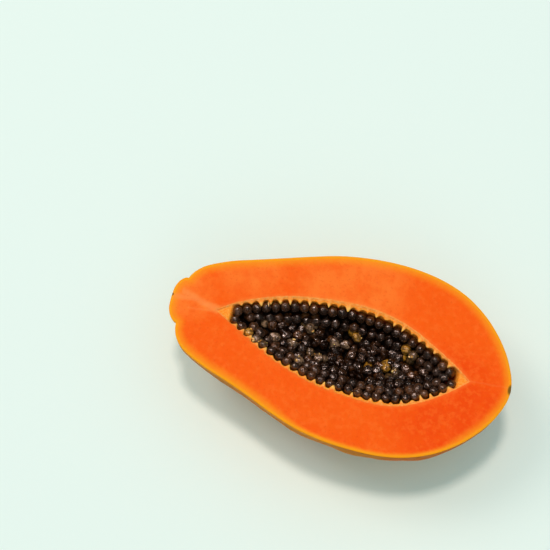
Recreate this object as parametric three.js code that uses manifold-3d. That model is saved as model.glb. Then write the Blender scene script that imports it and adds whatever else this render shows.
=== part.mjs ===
// One half of a ripe papaya, cut lengthways, lying on its skin with the cut face up.
// Millimetres, +Z up, +X from the stem end to the blossom end.
// The origin is the middle of the small flat spot that the half rests on.
import * as THREE from "three";
import { ParametricGeometry } from "three/addons/geometries/ParametricGeometry.js";
import { mergeVertices } from "three/addons/utils/BufferGeometryUtils.js";
import Module from "manifold-3d";

const wasm = await Module();
wasm.setup();

// Driving dimensions of the fruit
const LENGTH = 220; // stem tip to blossom tip
const CUT_HEIGHT = 60.6; // the cut face above the resting surface
const REST_AT = 118; // the resting spot, measured from the stem tip
const BELLY_SHIFT = 0.1; // how much deeper the half is at the stem end, and shallower at the other
const LOBES = 5;
const LOBE_HEIGHT = 0.012; // of the soft ribs, as a share of the radius

// Each row is the distance from the stem tip, the radius there, and how far the middle line lies
// to the +Y side. The first rows are the knob that the stem grew on.
const FRUIT_ROWS = [
  [0, 0, 5.2],
  [0.5, 7, 5.2],
  [2.6, 12, 5.2],
  [5.6, 14.9, 5.1],
  [7.3, 15.4, 4.8],
  [8.1, 18.4, 3.6],
  [10.2, 22.6, 2.8],
  [14.6, 27.3, 2.5],
  [21, 31.2, 2.4],
  [32, 36.1, 2.3],
  [48, 41.4, 2.1],
  [64, 47, 1.6],
  [80, 52.9, 0.8],
  [97, 58.2, 0.3],
  [115, 61.3, 0.1],
  [133, 62.4, 0],
  [150, 61.6, -0.3],
  [166, 58.4, -0.4],
  [181, 52.4, -0.5],
  [194, 43.6, -0.7],
  [204, 33.8, -1],
  [211.5, 23.8, -1.4],
  [216.5, 14.2, -1.8],
  [219.2, 6.2, -2],
  [LENGTH, 0, -2],
];

// The seed cavity in the cut face. Each row is the distance from the stem tip, the half width there,
// and how far the middle line lies to the +Y side.
const CAVITY_START = 30;
const CAVITY_END = 193.5;
const CAVITY_ROWS = [
  [CAVITY_START, 0, 4.1],
  [37, 4.6, 4.4],
  [46, 9.9, 4.3],
  [60, 16.7, 3.4],
  [78, 23.3, 2],
  [98, 27.8, 0.4],
  [119, 29.8, -0.5],
  [138, 28.8, -2],
  [154, 24.9, -3.3],
  [168, 18, -3.7],
  [180, 10.6, -3.1],
  [188, 4.7, -2.4],
  [CAVITY_END, 0, -2],
];
const CAVITY_MIDDLE = (CAVITY_START + CAVITY_END) / 2;
const CAVITY_REACH = (CAVITY_END - CAVITY_START) / 2;
const CAVITY_DEPTH = 31;
const TIP_LENGTH = 4.8; // at each end of the cavity, where pulp fills it nearly to the cut face
const TIP_BLEND = 1.4; // half the length over which the floor falls away behind it
const TIP_DEPTH = 2.4;
const CAVITY_HALF_WIDTH = 30; // at its widest
const WALL_SHARE = 0.94; // where the wall stands, as a share of the cavity's half width
const WALL_CURVE = 2 / 3; // under 1 makes the wall steep and the bottom flat
const LEDGE_DEPTH = 4; // of the shallow ledge of pale pulp round the cavity

// The bed that the seeds stand in, and the dip in its middle
const BED_TOP = 5.4; // its rim, under the cut face
const BED_GAP = 0.6; // between the bed and the cavity wall
const DIP_DEPTH = 15;
const DIP_MIDDLE = [113, 3.5]; // distance from the stem tip, side offset
const DIP_REACH = [70, 25];

// Seeds. A pair of shifts is how far a seed may lie out of place in the outermost row and in the middle.
const SEED_RADIUS = 3.15;
const SEED_SIZES = [0.94, 1.04]; // smallest and largest, as a share of the radius
const SEED_LENGTH_RATIO = 1.12;
const SEED_LEAN = 0.45; // the most that a seed leans, in radians
const SEED_STAND = 1.4; // a seed's middle above the bed
const SEED_PITCH = 6.05;
const CLOSEST = 4.4; // middles of two seeds are no nearer than this
const ROWS = 5;
const ROW_STEP = 5;
const FIRST_ROW_INSET = 3.9;
const SEEDLESS_TIP = 9.5; // no seed's middle is nearer to a tip of the cavity
const LOOSE_FROM_ROW = 3; // here and further in, the seeds lie as loosely as in the middle
const SHIFT_ALONG = [0.5, 1.8];
const SHIFT_SIDE = [0.3, 1.8];
const SHIFT_DEPTH = [0.6, 2];
const SEED_DRAW = 7; // start of the seeded random draw

// Pointed scraps of pulp on the wall, between the outermost seeds
const TOOTH_LENGTH = 3.2;
const TOOTH_RADIUS = 1.3;
const TOOTH_ROOT = 0.9; // how far the tooth starts inside the wall
const TOOTH_DEPTH = 2.3; // under the cut face
const TOOTH_GAP = 1.3 * SEED_PITCH; // seeds further apart have no tooth between them
const TOOTH_BEND = 0.9; // cosine of the sharpest turn of the wall that still has a tooth

// Fineness of the faceted solids
const FRUIT_STEPS = 54;
const FRUIT_SIDES = 44;
const CAVITY_STEPS = 40;
const CAVITY_SIDES = 28;
const LEDGE_SIDES = 16;
const OUTLINE_STEPS = 90;
const BED_SIDES = 14;
const BED_LID = { length: 200, width: 80, height: 60, cellsAlong: 26, cellsAcross: 10 };

const curveThrough = (rows) =>
  new THREE.CatmullRomCurve3(rows.map((row) => new THREE.Vector3(...row)), false, "catmullrom");
const fruitCurve = curveThrough(FRUIT_ROWS);
const cavityCurve = curveThrough(CAVITY_ROWS);

const mix = ([from, to], share) => from + (to - from) * share;
const signedPower = (value, power) => Math.sign(value) * Math.abs(value) ** power;

// A seeded random number generator, so that every build has the same seeds
function randomSource(seed) {
  let state = seed >>> 0;
  return () => {
    state = (Math.imul(state, 1664525) + 1013904223) >>> 0;
    return state / 2 ** 32;
  };
}

// Solid from a closed three.js geometry, with its faces pointing out
function solid(geometry) {
  const bare = geometry.clone();
  bare.deleteAttribute("normal");
  bare.deleteAttribute("uv");
  const merged = mergeVertices(bare, 1e-4);
  const points = merged.attributes.position.array;
  const corner = (i) => new THREE.Vector3().fromArray(points, 3 * i);
  const corners = [];
  let volume = 0;
  for (let i = 0; i < merged.index.count; i += 3) {
    const [a, b, c] = [0, 1, 2].map((k) => merged.index.getX(i + k));
    if (a === b || b === c || c === a) continue;
    corners.push([a, b, c]);
    volume += corner(a).dot(corner(b).cross(corner(c)));
  }
  const triangles = corners.flatMap(([a, b, c]) => (volume > 0 ? [a, b, c] : [a, c, b]));
  return new wasm.Manifold(
    new wasm.Mesh({
      numProp: 3,
      vertProperties: Float32Array.from(points),
      triVerts: Uint32Array.from(triangles),
    }),
  );
}

// Named mesh from a solid
function meshOf(body, name, material) {
  const { vertProperties, triVerts } = body.getMesh();
  const geometry = new THREE.BufferGeometry();
  geometry.setAttribute("position", new THREE.BufferAttribute(vertProperties, 3));
  geometry.setIndex(new THREE.BufferAttribute(triVerts, 1));
  geometry.computeVertexNormals();
  const mesh = new THREE.Mesh(geometry, material);
  mesh.name = name;
  return mesh;
}

// Point at a distance from the stem tip, a side offset and a depth under the cut face
const place = (along, side, depth) => new THREE.Vector3(along - REST_AT, side, CUT_HEIGHT - depth);

// Whole fruit. Its soft ribs fade out at the cut face, and its underside is fuller near the stem.
function fruitPoint(u, v, target) {
  const { x: along, y: radius, z: middle } = fruitCurve.getPoint(u);
  const angle = 2 * Math.PI * v;
  const rib = LOBE_HEIGHT * Math.cos(LOBES * (angle - Math.PI / 2)) * Math.sin(angle) ** 2;
  const reach = radius * (1 + rib);
  const fullness = 1 + BELLY_SHIFT * Math.cos((Math.PI * along) / LENGTH);
  target.copy(place(along, middle + reach * Math.cos(angle), reach * fullness * Math.sin(angle)));
}

const fromTip = (along) => CAVITY_REACH - Math.abs(along - CAVITY_MIDDLE);

// Depth of the cavity's floor
function cavityDepth(along) {
  const share = (along - CAVITY_MIDDLE) / CAVITY_REACH;
  const depth = CAVITY_DEPTH * Math.sqrt(Math.max(0, 1 - share * share));
  const open = THREE.MathUtils.smoothstep(fromTip(along), TIP_LENGTH - TIP_BLEND, TIP_LENGTH + TIP_BLEND);
  return mix([Math.min(TIP_DEPTH, depth), depth], open);
}

// Cavity wall. A gap above 0 gives the smaller form that the seed bed fills.
const wallPoint = (gap) => (u, v, target) => {
  const { x: along, y: half, z: middle } = cavityCurve.getPoint(u);
  const angle = 2 * Math.PI * v;
  const side = Math.max(0, half * WALL_SHARE - gap) * signedPower(Math.cos(angle), WALL_CURVE);
  const depth = Math.max(0, cavityDepth(along) - gap) * signedPower(Math.sin(angle), WALL_CURVE);
  target.copy(place(along, middle + side, depth));
};

function ledgePoint(u, v, target) {
  const { x: along, y: width, z: middle } = cavityCurve.getPoint(u);
  const half = Math.max(0, width);
  const angle = 2 * Math.PI * v;
  const depth = LEDGE_DEPTH * Math.sqrt(half / CAVITY_HALF_WIDTH) * Math.sin(angle);
  target.copy(place(along, middle + half * Math.cos(angle), depth));
}

// Depth of the dip in the seed bed
function dip(along, side) {
  const far = ((along - DIP_MIDDLE[0]) / DIP_REACH[0]) ** 2 + ((side - DIP_MIDDLE[1]) / DIP_REACH[1]) ** 2;
  return far < 1 ? DIP_DEPTH * (1 - far) ** 2 : 0;
}

// Outline of the cavity wall in the cut face, as points [along, side] in order round it
function wallOutline() {
  const outline = [];
  for (let i = 0; i < 2 * OUTLINE_STEPS; i++) {
    const upper = i < OUTLINE_STEPS;
    const share = upper ? i / OUTLINE_STEPS : 2 - i / OUTLINE_STEPS;
    const { x: along, y: half, z: middle } = cavityCurve.getPoint(share);
    outline.push([along, middle + (upper ? 1 : -1) * half * WALL_SHARE]);
  }
  return outline;
}

function distanceTo(outline, [x, y]) {
  let nearest = Infinity;
  outline.forEach(([x0, y0], i) => {
    const [x1, y1] = outline[(i + 1) % outline.length];
    const [dx, dy] = [x1 - x0, y1 - y0];
    const share = ((x - x0) * dx + (y - y0) * dy) / (dx * dx + dy * dy);
    const t = Math.min(1, Math.max(0, share));
    nearest = Math.min(nearest, Math.hypot(x - x0 - t * dx, y - y0 - t * dy));
  });
  return nearest;
}

// The line inside the outline at a given distance from it, each point with the direction to the middle
function insetLine(outline, inset) {
  const count = outline.length;
  const line = outline.map(([x, y], i) => {
    const [xa, ya] = outline[(i + count - 1) % count];
    const [xb, yb] = outline[(i + 1) % count];
    const size = Math.hypot(xb - xa, yb - ya);
    const inward = [(yb - ya) / size, -(xb - xa) / size];
    return { point: [x + inward[0] * inset, y + inward[1] * inset], inward };
  });
  const tolerance = 0.1;
  return line.filter(({ point }) => distanceTo(outline, point) > inset - tolerance);
}

// Points at even spacing round a closed line
function spread(line, pitch, phase) {
  const lengths = line.map(({ point }, i) => {
    const next = line[(i + 1) % line.length].point;
    return Math.hypot(next[0] - point[0], next[1] - point[1]);
  });
  const total = lengths.reduce((sum, length) => sum + length, 0);
  const count = Math.round(total / pitch);
  const places = [];
  let index = 0;
  let start = 0;
  for (let k = 0; k < count; k++) {
    const at = ((k + phase) * total) / count;
    while (at > start + lengths[index]) start += lengths[index++];
    const t = (at - start) / lengths[index];
    const { point, inward } = line[index];
    const next = line[(index + 1) % line.length].point;
    places.push({ point: [0, 1].map((c) => mix([point[c], next[c]], t)), inward });
  }
  return places;
}

// A seed near a point [along, side], moved a little out of place. Every call makes six random draws.
function seedNear([x, y], row, inward, random) {
  const [alongDraw, sideDraw, depthDraw, sizeDraw, lean, turn] = Array.from({ length: 6 }, random);
  const loose = Math.min(1, row / LOOSE_FROM_ROW);
  const along = x + (alongDraw - 0.5) * mix(SHIFT_ALONG, loose);
  const side = y + (sideDraw - 0.5) * mix(SHIFT_SIDE, loose);
  const shift = (depthDraw - 0.5) * mix(SHIFT_DEPTH, loose);
  const depth = BED_TOP - SEED_STAND + dip(along, side) + shift;
  return { row, along, side, depth, radius: SEED_RADIUS * mix(SEED_SIZES, sizeDraw), inward, lean, turn };
}

// Seeds stand close together in rows that follow the cavity wall, the inner rows less evenly than the
// outer ones.
function seedPlaces() {
  const random = randomSource(SEED_DRAW);
  const outline = wallOutline();
  const seeds = [];
  const addIfFree = (seed) => {
    const touches = (other) =>
      Math.hypot(other.along - seed.along, other.side - seed.side, other.depth - seed.depth) < CLOSEST;
    if (fromTip(seed.along) > SEEDLESS_TIP && !seeds.some(touches)) seeds.push(seed);
  };
  for (let row = 0; row < ROWS; row++) {
    const line = insetLine(outline, FIRST_ROW_INSET + row * ROW_STEP);
    spread(line, SEED_PITCH, (row % 2) / 2).forEach(({ point, inward }) =>
      addIfFree(seedNear(point, row, inward, random)));
  }
  return seeds;
}

function seedSolid({ along, side, depth, radius, lean, turn }) {
  const geometry = new THREE.IcosahedronGeometry(radius, 0);
  geometry.scale(1, 1, SEED_LENGTH_RATIO);
  geometry.rotateX((2 * lean - 1) * SEED_LEAN);
  geometry.rotateZ(turn * 2 * Math.PI);
  geometry.translate(...place(along, side, depth));
  return solid(geometry);
}

// One tooth of pulp on the wall, halfway between two neighbouring seeds of the outermost row
function toothSolid(a, b) {
  const geometry = new THREE.ConeGeometry(TOOTH_RADIUS, TOOTH_LENGTH, 4);
  geometry.rotateY(Math.PI / 4);
  geometry.translate(0, TOOTH_LENGTH / 2 - TOOTH_ROOT, 0);
  const inward = new THREE.Vector3(a.inward[0] + b.inward[0], a.inward[1] + b.inward[1], 0).normalize();
  const tip = new THREE.Vector3(0, 1, 0);
  geometry.applyQuaternion(new THREE.Quaternion().setFromUnitVectors(tip, inward));
  const root = place((a.along + b.along) / 2, (a.side + b.side) / 2, TOOTH_DEPTH);
  geometry.translate(...root.addScaledVector(inward, -FIRST_ROW_INSET));
  return solid(geometry);
}

// Neighbouring pairs of the outermost seeds that have a tooth between them
function toothPairs(seeds) {
  const rim = seeds.filter((seed) => seed.row === 0);
  const pairs = rim.map((seed, i) => [seed, rim[(i + 1) % rim.length]]);
  return pairs.filter(([a, b]) => {
    const apart = Math.hypot(b.along - a.along, b.side - a.side);
    const agreement = a.inward[0] * b.inward[0] + a.inward[1] * b.inward[1];
    return apart < TOOTH_GAP && agreement > TOOTH_BEND;
  });
}

// Flesh and skin of the half, with the cavity, its ledge and the teeth of pulp
function fruitHalf(seeds) {
  const whole = solid(new ParametricGeometry(fruitPoint, FRUIT_STEPS, FRUIT_SIDES));
  const kept = new THREE.BoxGeometry(2 * LENGTH, LENGTH, CUT_HEIGHT);
  kept.translate(0, 0, CUT_HEIGHT / 2);
  const wall = solid(new ParametricGeometry(wallPoint(0), CAVITY_STEPS, CAVITY_SIDES));
  const ledge = solid(new ParametricGeometry(ledgePoint, CAVITY_STEPS, LEDGE_SIDES));
  const half = whole.intersect(solid(kept)).subtract(wall).subtract(ledge);
  return toothPairs(seeds).reduce((body, [a, b]) => body.add(toothSolid(a, b)), half);
}

// Everything above the seed bed, with its underside following the bed's dished top
function bedLid() {
  const { length, width, height, cellsAlong, cellsAcross } = BED_LID;
  const geometry = new THREE.BoxGeometry(length, width, height, cellsAlong, cellsAcross, 1);
  geometry.translate(CAVITY_MIDDLE, 0, 0);
  const points = geometry.attributes.position;
  for (let i = 0; i < points.count; i++) {
    const [along, side] = [points.getX(i), points.getY(i)];
    const depth = points.getZ(i) < 0 ? BED_TOP + dip(along, side) : -height;
    points.setXYZ(i, ...place(along, side, depth));
  }
  return solid(geometry);
}

// Seeds, and the bed of deeper seeds and pulp that holds them together
function seedMass(seeds) {
  const filling = solid(new ParametricGeometry(wallPoint(BED_GAP), CAVITY_STEPS, BED_SIDES));
  return seeds.reduce((mass, seed) => mass.add(seedSolid(seed)), filling.subtract(bedLid()));
}

const fleshMaterial = new THREE.MeshStandardMaterial({ color: 0xf56419, roughness: 0.45, metalness: 0 });
const seedMaterial = new THREE.MeshStandardMaterial({ color: 0x1c1511, roughness: 0.2, metalness: 0 });

const seeds = seedPlaces();
const papaya = new THREE.Group();
papaya.add(meshOf(fruitHalf(seeds), "fruit_half", fleshMaterial));
papaya.add(meshOf(seedMass(seeds), "seeds", seedMaterial));

export default papaya;
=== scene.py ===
# Looks of one half of a ripe papaya, cut lengthways, lying on its skin with the cut face up
import math

import bmesh
import bpy
import numpy as np
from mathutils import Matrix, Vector
from mathutils.kdtree import KDTree


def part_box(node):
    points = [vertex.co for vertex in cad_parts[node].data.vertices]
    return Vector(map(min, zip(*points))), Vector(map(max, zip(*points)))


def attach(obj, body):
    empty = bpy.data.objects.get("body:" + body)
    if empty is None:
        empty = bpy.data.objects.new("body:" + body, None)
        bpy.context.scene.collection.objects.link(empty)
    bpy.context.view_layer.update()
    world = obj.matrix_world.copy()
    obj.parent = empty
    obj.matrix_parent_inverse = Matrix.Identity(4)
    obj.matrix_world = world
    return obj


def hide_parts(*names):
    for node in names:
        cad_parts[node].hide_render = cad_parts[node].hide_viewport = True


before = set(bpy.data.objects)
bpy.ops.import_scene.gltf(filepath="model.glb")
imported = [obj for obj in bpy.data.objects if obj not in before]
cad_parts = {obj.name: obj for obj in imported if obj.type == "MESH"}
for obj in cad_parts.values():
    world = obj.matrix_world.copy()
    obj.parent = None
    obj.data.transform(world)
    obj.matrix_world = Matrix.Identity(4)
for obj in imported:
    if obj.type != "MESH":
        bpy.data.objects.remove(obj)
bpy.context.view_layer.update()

# Sizes are in millimetres, measured like the fruit: along from the stem tip, side to +Y, depth under the
# cut face. MM turns them into Blender's metres.
MM = 0.001
half_low, half_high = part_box("fruit_half")
LENGTH = (half_high.x - half_low.x) / MM
REST_AT = -half_low.x / MM
CUT_HEIGHT = half_high.z / MM

# Form of the fruit. Each row is the distance from the stem tip, the radius there, and the side offset of
# the middle line.
BELLY_SHIFT = 0.1
LOBES = 5
LOBE_HEIGHT = 0.012
FRUIT_ROWS = (
    (0, 0, 5.2),
    (0.5, 7, 5.2),
    (2.6, 12, 5.2),
    (5.6, 14.9, 5.1),
    (7.3, 15.4, 4.8),
    (8.1, 18.4, 3.6),
    (10.2, 22.6, 2.8),
    (14.6, 27.3, 2.5),
    (21, 31.2, 2.4),
    (32, 36.1, 2.3),
    (48, 41.4, 2.1),
    (64, 47, 1.6),
    (80, 52.9, 0.8),
    (97, 58.2, 0.3),
    (115, 61.3, 0.1),
    (133, 62.4, 0),
    (150, 61.6, -0.3),
    (166, 58.4, -0.4),
    (181, 52.4, -0.5),
    (194, 43.6, -0.7),
    (204, 33.8, -1),
    (211.5, 23.8, -1.4),
    (216.5, 14.2, -1.8),
    (219.2, 6.2, -2),
    (LENGTH, 0, -2),
)
FLANK_SWELLS = (-0.3, 0.75)  # how far the far and the near flank swell out under the knife edge
FLANK_ANGLES = (1.9, 2.5)  # between which one passes into the other
EDGE_DROP = 0.22  # how far the knife edge of the skin is rounded down

# Form of the cavity. Each row is the distance from the stem tip, the half width, and the side offset.
CAVITY_START = 30
CAVITY_END = 193.5
CAVITY_ROWS = (
    (CAVITY_START, 0, 4.1),
    (37, 4.6, 4.4),
    (46, 9.9, 4.3),
    (60, 16.7, 3.4),
    (78, 23.3, 2),
    (98, 27.8, 0.4),
    (119, 29.8, -0.5),
    (138, 28.8, -2),
    (154, 24.9, -3.3),
    (168, 18, -3.7),
    (180, 10.6, -3.1),
    (188, 4.7, -2.4),
    (CAVITY_END, 0, -2),
)
CAVITY_MIDDLE = (CAVITY_START + CAVITY_END) / 2
CAVITY_REACH = (CAVITY_END - CAVITY_START) / 2
CAVITY_DEPTH = 31
CAVITY_HALF_WIDTH = 30
TIP_LENGTHS = (11, 8.6)  # filled with pulp at the stem and blossom ends, more than in the solids
TIP_BLEND = 2.5
TIP_DEPTH = 0.9
WALL_SHARE = 0.94
WALL_POWER = 3
LEDGE_DEPTH = 4
LEDGE_SHARES = (0.3, 1)  # of that depth, at the cavity's tips and away from them
LEDGE_GROWTH = (3, 14)  # distances from the tip between which it grows

# The bed under the seeds, and the dip in its middle
BED_TOP = 5.4
BED_GAP = 0.6
BED_DROP = 5.5  # the bed that shows lies this much lower than the solid one
DIP_DEPTH = 15
DIP_MIDDLE = (113, 3.5)
DIP_REACH = (70, 25)

# Seeds stand by the same rule and the same draws as in the solids
SEED_RADIUS = 3.15
SEED_SIZES = (0.94, 1.04)
SEED_LENGTH_RATIO = 1.12
SEED_LEAN = 0.45
SEED_STAND = 1.4
SEED_PITCH = 6.05
CLOSEST = 4.4
ROWS = 5
ROW_STEP = 5
FIRST_ROW_INSET = 3.9
SEEDLESS_TIP = 9.5
LOOSE_FROM_ROW = 3
SHIFT_ALONG = (0.5, 1.8)
SHIFT_SIDE = (0.3, 1.8)
SHIFT_DEPTH = (0.6, 2)
SEED_DRAW = 7
OUTLINE_STEPS = 90

# Teeth of pulp between the outermost seeds
TOOTH_GAP = 1.3 * SEED_PITCH
TOOTH_BEND = 0.9
TOOTH_LENGTH = 2.9
TOOTH_HALF_WIDTH = 1.5
TOOTH_DEPTH = 2.1
TOOTH_HALF_HEIGHT = 1.9
TOOTH_REACH = 6  # how far from its root a tooth moves the wall

# Least and most of a tooth's size, width and height, as shares, and of how much deeper it stands
TOOTH_LEAST = (0.45, 0.5, 0.8, -0.7)
TOOTH_MOST = (1.35, 1.2, 1.4, 0.6)

# Random relief of each surface, in layers: height, distance between bumps, and draw
SKIN_RELIEF = ((0.4, 26, 1), (0.1, 7, 2))
FACE_RELIEF = ((0.1, 14, 3), (0.05, 4, 4))
WALL_RELIEF = ((0.22, 2.4, 5),)
BED_RELIEF = ((0.5, 4, 6),)

# Fineness of the meshes
STATIONS = 300
SKIN_SIDES = 96
FACE_RINGS = 42
LEDGE_STEPS = 6
WALL_STEPS = 24
FINE_OUTLINE = 2000
BED_STATIONS = 150
BED_COLUMNS = 60

LIP_DROP = 0.3  # how far the cut face sinks at the cavity
BED_TIP = 13  # how far the bed stays from the cavity's ends
BED_LEAST = 1  # least thickness of the bed

# Draws that the other random numbers start from
TOOTH_DRAW = 11
DEEP_DRAW = 12
PULP_DRAW = 13
LOOSE_DRAW = 14
SEED_FORM_DRAW = 20
PULP_FORM_DRAW = 60

# How the seeds that show depart from those in the solids. The inner ones and the far ones sink.
OUTER_ROWS = 2
MISSING_SHARE = 0.32  # of the innermost seeds
ROW_SINK = 3.2
RANDOM_SINK = 4
FAR_SINK = 2.6
FAR_SIDE = (0, 12)  # sides between which the far ones sink more and more
LOOSE_LEAN = 6  # times as far over as in the solids
PAINTED_SHADE_DEPTH = 18  # depth from which all seeds are painted dark, as shade deep in the cavity
SEED_FORMS = 6
SEED_TAPER = 0.1

# Second layer of seeds, under the first
DEEP_STEP = 6.5
DEEP_SHIFT = 0.9
DEEP_SHIFT_DEPTH = 0.5
DEEP_SEEDLESS_TIP = SEEDLESS_TIP + 6

# Colours of the seeds' coats, as linear values, and the few seeds that are pale: kind, along, side
TINTS = {
    "black": (0.007, 0.002, 0.0006),
    "brown": (0.13, 0.042, 0.01),
    "olive": (0.12, 0.062, 0.02),
    "tan": (0.24, 0.135, 0.07),
    "golden": (0.5, 0.22, 0.02),
}
PALE_SEEDS = (
    ("golden", 54.7, -5.5),
    ("tan", 59.7, -8),
    ("olive", 65.5, -9.7),
    ("tan", 70, 1.5),
    ("olive", 83.5, 13.5),
    ("tan", 90.6, 13.5),
    ("olive", 91.2, -4),
    ("tan", 104, 7),
    ("golden", 116.9, 14.7),
    ("tan", 112.6, 8.5),
    ("golden", 129.5, -1.8),
    ("golden", 141.5, 0),
    ("golden", 140.5, -4),
    ("olive", 147, -6),
    ("golden", 149, 10.5),
    ("tan", 59.5, 8.5),
    ("tan", 79, -1.5),
    ("tan", 99.8, -5.5),
    ("olive", 157.7, 8),
    ("tan", 87.5, -11.2),
)
PALE_REACH = 2.8
PALE_SINK_SHARE = 0.6

# Scraps of pulp on the pale seeds
PULP_LENGTHS = (0.5, 1.25)
PULP_WIDTHS = (0.4, 0.8)  # as shares of the length
PULP_HEIGHTS = (0.4, 0.7)

# Pale strand of pulp between two outermost seeds
STRAND_AT = (60.5, 16.2)
STRAND_DEPTH = 1.7
STRAND_SIZE = (0.55, 2.1, 0.7)

# Places in the cut face, as along and side, of the pale veins from the cavity to the ends of the fruit, and
# each vein with its width and strength
UPPER_VEIN = ((30.5, 4.1), (22.7, 5.9), (16.1, 8.3), (6.2, 10.8))
UPPER_VEIN_BRANCH = ((16.1, 8), (8.4, 7.4), (1.5, 6.4))
LOWER_VEIN = ((30.5, 3.6), (23.7, 2), (12, 0.8))
TIP_VEIN = ((193, -1.9), (205, -1.1), (217.5, 0))
VEINS = (
    (UPPER_VEIN, 3.6, 1),
    (UPPER_VEIN_BRANCH, 3.2, 1),
    (TIP_VEIN, 1.1, 0.3),
    (LOWER_VEIN, 1.1, 0.4),
)

# Patches of paler and deeper flesh, partly the flesh's own tone and partly painted light: the paler ones,
# on the far side and at the stem end, are painted light and sheen, and the deeper one, on the near side at
# the blossom end, is partly ripeness and partly painted shade. Each is along, side, radius and colour
FLESH_PATCHES_AND_PAINTED_LIGHT = (
    (108, 44, 40, (255, 118, 38)),
    (44, 42, 26, (255, 118, 38)),
    (10, 9, 18, (255, 118, 38)),
    (184, -20, 42, (242, 72, 2)),
)

# Mottles in the flesh: size, shift, levels of the noise between which they grow, share and colour
FLESH_MOTTLES = (
    (11, 0, (0.4, 0.65), 0.55, (248, 86, 6)),
    (3.5, 4, (0.45, 0.7), 0.34, (254, 118, 38)),
    (1.6, 7, (0.54, 0.76), 0.4, (230, 68, 4)),
)
BAND_WIDTHS = (7.5, 3.8)  # of the yellow band under the skin, and in the middle of the near side

# Pale halo at the stem end of the cavity, as along, side and depth
TIP_HALO = (27, 4.6, 0)
TIP_HALO_RADIUS = 7
TIP_HALO_STRETCH = (0.7, 2, 1)

# Marks on the fruit, as along, side and depth
SCAR_AT = (219.3, -1, 1)
SCAR_RADIUS = 2.2
SCAR_STRETCH = (1.3, 0.6, 0.6)
NICK_AT = (0.3, 7.2, 0.6)
NICK_RADIUS = 1.2
EDGE_MARKS = (127.2, 133.6, 139.9)
EDGE_MARK_SIDE = -61.9
EDGE_MARK_DEPTH = 1.6

# Stage, with colours as on a screen
FLOOR_SIZE = 6
FLOOR_COLOUR = (229, 242, 233)
SKY_COLOUR = (214, 247, 255)
SKY_STRENGTHS = (0.06, 0.83)  # at the horizon and overhead
BACKDROP_STRENGTH = 0.85  # of the sky where it is seen behind the floor
SKY_SHEEN = 0.1  # share of the sky's light that shiny surfaces mirror
LAMP_COLOUR = (1, 0.81, 0.75)

# Lamps: azimuth, elevation, distance, size, power
LAMPS = {
    "key": (205, 80, 6, 0.7, 138),
    "soft_box": (252, 52, 5.5, 2.2, 78),
    "fill": (20, 40, 5.5, 2.6, 15),
}

CAMERA_AZIMUTH = 14.5126
CAMERA_ELEVATION = 70.5
CAMERA_LENS = 110
CAMERA_SENSOR = 36
CAMERA_DISTANCE = 1.064
CAMERA_TARGET = (59.7, 35.6, 0)


def curve(rows, shares):
    """Points of the smooth curve through the rows, at shares from 0 to 1 of its stretches."""
    rows = np.asarray(rows, float)
    shares = np.asarray(shares, float)
    padded = np.vstack([2 * rows[0] - rows[1], rows, 2 * rows[-1] - rows[-2]])
    at = np.clip(shares, 0, 1) * (len(rows) - 1)
    index = np.minimum(at.astype(int), len(rows) - 2)
    t = (at - index)[..., None]
    p0, p1, p2, p3 = (padded[index + k] for k in range(4))
    v1, v2 = (p2 - p0) / 2, (p3 - p1) / 2
    return (2 * p1 - 2 * p2 + v1 + v2) * t**3 + (3 * p2 - 3 * p1 - 2 * v1 - v2) * t**2 + v1 * t + p1


def even_shares(rows, count):
    """Shares of a row curve that are evenly spaced along its outline."""
    fine = np.linspace(0, 1, 8001)
    along, half, _ = curve(rows, fine).T
    travelled = np.concatenate([[0], np.cumsum(np.hypot(np.diff(along), np.diff(half)))])
    return np.interp(np.linspace(0, travelled[-1], count + 1), travelled, fine)


def smooth(value, low, high):
    """0 below low and 1 above high, smooth between them."""
    t = np.clip((value - low) / (high - low), 0, 1)
    return t * t * (3 - 2 * t)


def mix(pair, share):
    return pair[0] + (pair[1] - pair[0]) * share


def waves(points, size, draw, count=16):
    """Smooth random relief, mostly from -1 to 1, with bumps about size apart."""
    random = np.random.default_rng(draw)
    directions = random.normal(size=(count, points.shape[-1]))
    directions /= np.linalg.norm(directions, axis=1, keepdims=True)
    turns = 2 * math.pi / (size * random.uniform(0.7, 1.5, count))
    phases = random.uniform(0, 2 * math.pi, count)
    return np.cos(points @ (directions * turns[:, None]).T + phases).sum(-1) / math.sqrt(count / 2) / 1.6


def relief(points, layers):
    """Random relief of several layers, each a height, a distance between bumps and a draw."""
    return sum(height * waves(points, size, draw) for height, size, draw in layers)


def place(along, side, depth):
    """Point in the frame, in metres."""
    return np.stack(np.broadcast_arrays(along - REST_AT, side, CUT_HEIGHT - depth), -1) * MM


# Form of the skin, the cavity and the seed bed


def skin_point(share, angle):
    """Along, side and depth on the skin, at angles from 0 at the +Y edge to pi at the -Y edge."""
    along, radius, middle = np.moveaxis(curve(FRUIT_ROWS, share), -1, 0)
    rib = LOBE_HEIGHT * np.cos(LOBES * (angle - math.pi / 2)) * np.sin(angle) ** 2
    spot = np.stack(np.broadcast_arrays(along, radius * np.cos(angle), radius * np.sin(angle)), -1)
    away = smooth(np.sin(angle) * radius, 1, 12)
    swell = mix(FLANK_SWELLS, smooth(angle, *FLANK_ANGLES))
    reach = radius * (1 + rib) + away * (relief(spot, SKIN_RELIEF) + swell)
    fullness = 1 + BELLY_SHIFT * np.cos(math.pi * along / LENGTH)
    depth = np.minimum(reach * fullness * np.sin(angle), CUT_HEIGHT)
    return along, middle + reach * np.cos(angle), depth


def from_tip(along):
    """Distance from the nearer end of the cavity."""
    return CAVITY_REACH - np.abs(along - CAVITY_MIDDLE)


def cavity_depth(along):
    """Depth of the cavity's floor, which is only a shallow groove in its tips."""
    share = (along - CAVITY_MIDDLE) / CAVITY_REACH
    depth = CAVITY_DEPTH * np.sqrt(np.maximum(0, 1 - share * share))
    length = np.where(along < CAVITY_MIDDLE, *TIP_LENGTHS)
    opened = smooth(from_tip(along) - length, -TIP_BLEND, TIP_BLEND)
    return mix((np.minimum(TIP_DEPTH, depth), depth), opened)


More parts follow.
